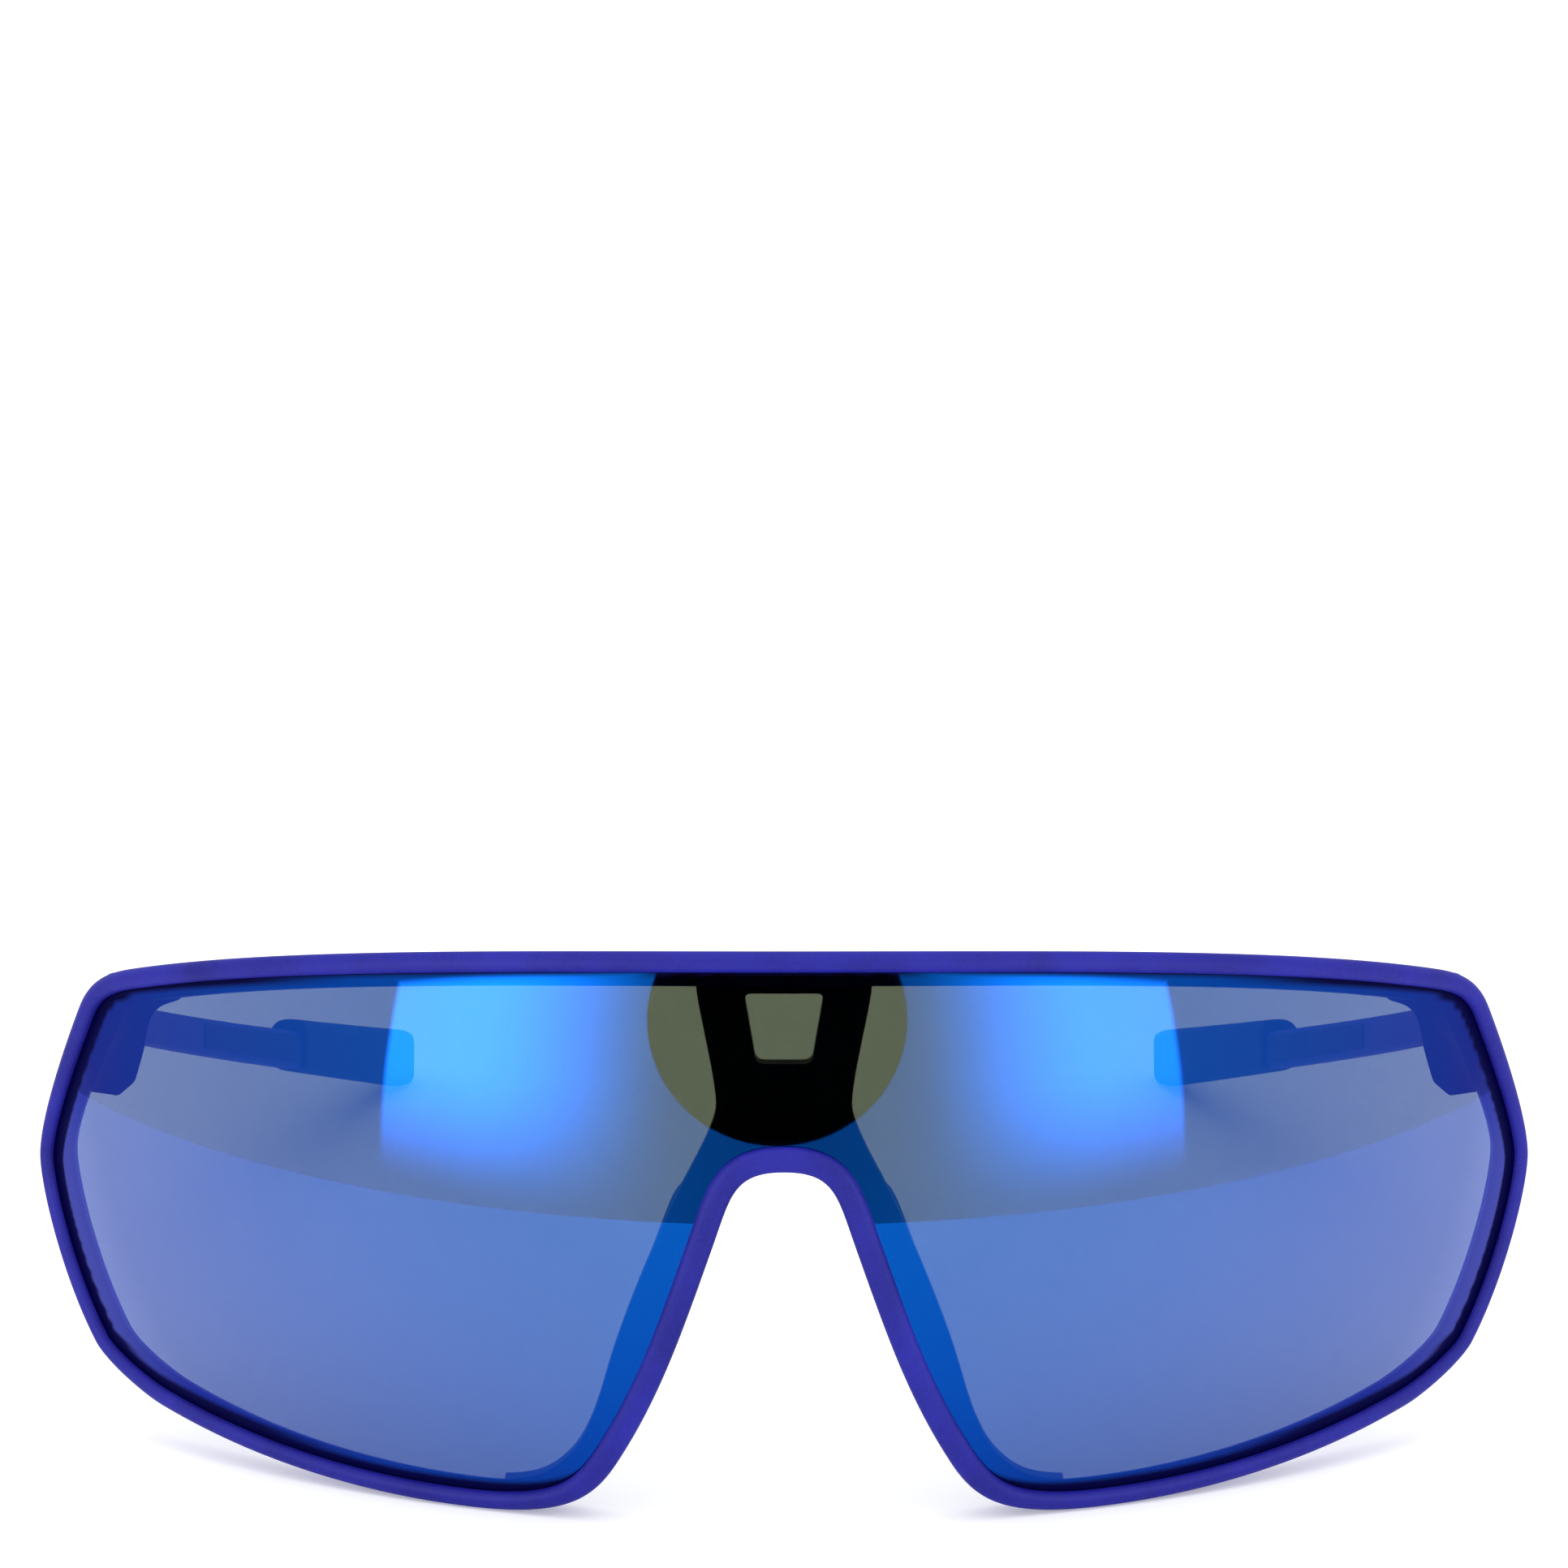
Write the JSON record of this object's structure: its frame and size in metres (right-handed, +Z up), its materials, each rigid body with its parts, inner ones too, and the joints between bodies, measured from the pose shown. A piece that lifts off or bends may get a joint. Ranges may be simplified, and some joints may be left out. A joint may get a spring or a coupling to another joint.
{
  "type": "wraparound sport sunglasses",
  "caption": "Wraparound sport sunglasses with one mirrored shield lens in a full rim, a vented nose bridge with soft pads, and two folding arms with rubber sleeves",
  "frame": {"origin": "on the table, under the middle of the pair's outline", "axes": "+X to the wearer's left, -Y the way the front faces, +Z up, with the pair standing open on its two lower lobes and its tips"},
  "size_m": [0.1422, 0.1558, 0.0533],
  "materials": {
    "frame_plastic": "fine matte moulded, violet-blue",
    "mirror_lens": "brown-grey tint under a blue mirror coat",
    "carrier_plastic": "matte moulded, black",
    "pad_rubber": "soft matte, black",
    "arm_rubber": "soft matte, black",
    "hinge_steel": "turned and stamped, satin"
  },
  "bodies": {
    "front": {"front_frame": "frame_plastic", "shield_lens": "mirror_lens", "nose_bridge": "carrier_plastic", "nose_pad_left": "pad_rubber", "nose_pad_right": "pad_rubber", "end_block_left": "frame_plastic", "end_block_right": "frame_plastic", "front_leaf_left": "hinge_steel", "front_leaf_right": "hinge_steel", "hinge_screw_left": "hinge_steel", "hinge_screw_right": "hinge_steel"},
    "arm_left": {"temple_left": "frame_plastic", "temple_leaf_left": "hinge_steel", "temple_inlay_left": "arm_rubber", "tip_wire_left": "hinge_steel", "tip_sleeve_left": "arm_rubber"},
    "arm_right": {"temple_right": "frame_plastic", "temple_leaf_right": "hinge_steel", "temple_inlay_right": "arm_rubber", "tip_wire_right": "hinge_steel", "tip_sleeve_right": "arm_rubber"}
  },
  "joints": [
    {"name": "arm_left_fold", "type": "hinge", "parent": "front", "child": "arm_left", "pos_m": [0.0639, -0.03518, 0.0368], "axis": [0, 0.2993, 0.9542], "range_deg": [0, 85]},
    {"name": "arm_right_fold", "type": "hinge", "parent": "front", "child": "arm_right", "pos_m": [-0.0639, -0.03518, 0.0368], "axis": [0, -0.2993, -0.9542], "range_deg": [0, 76]}
  ]
}
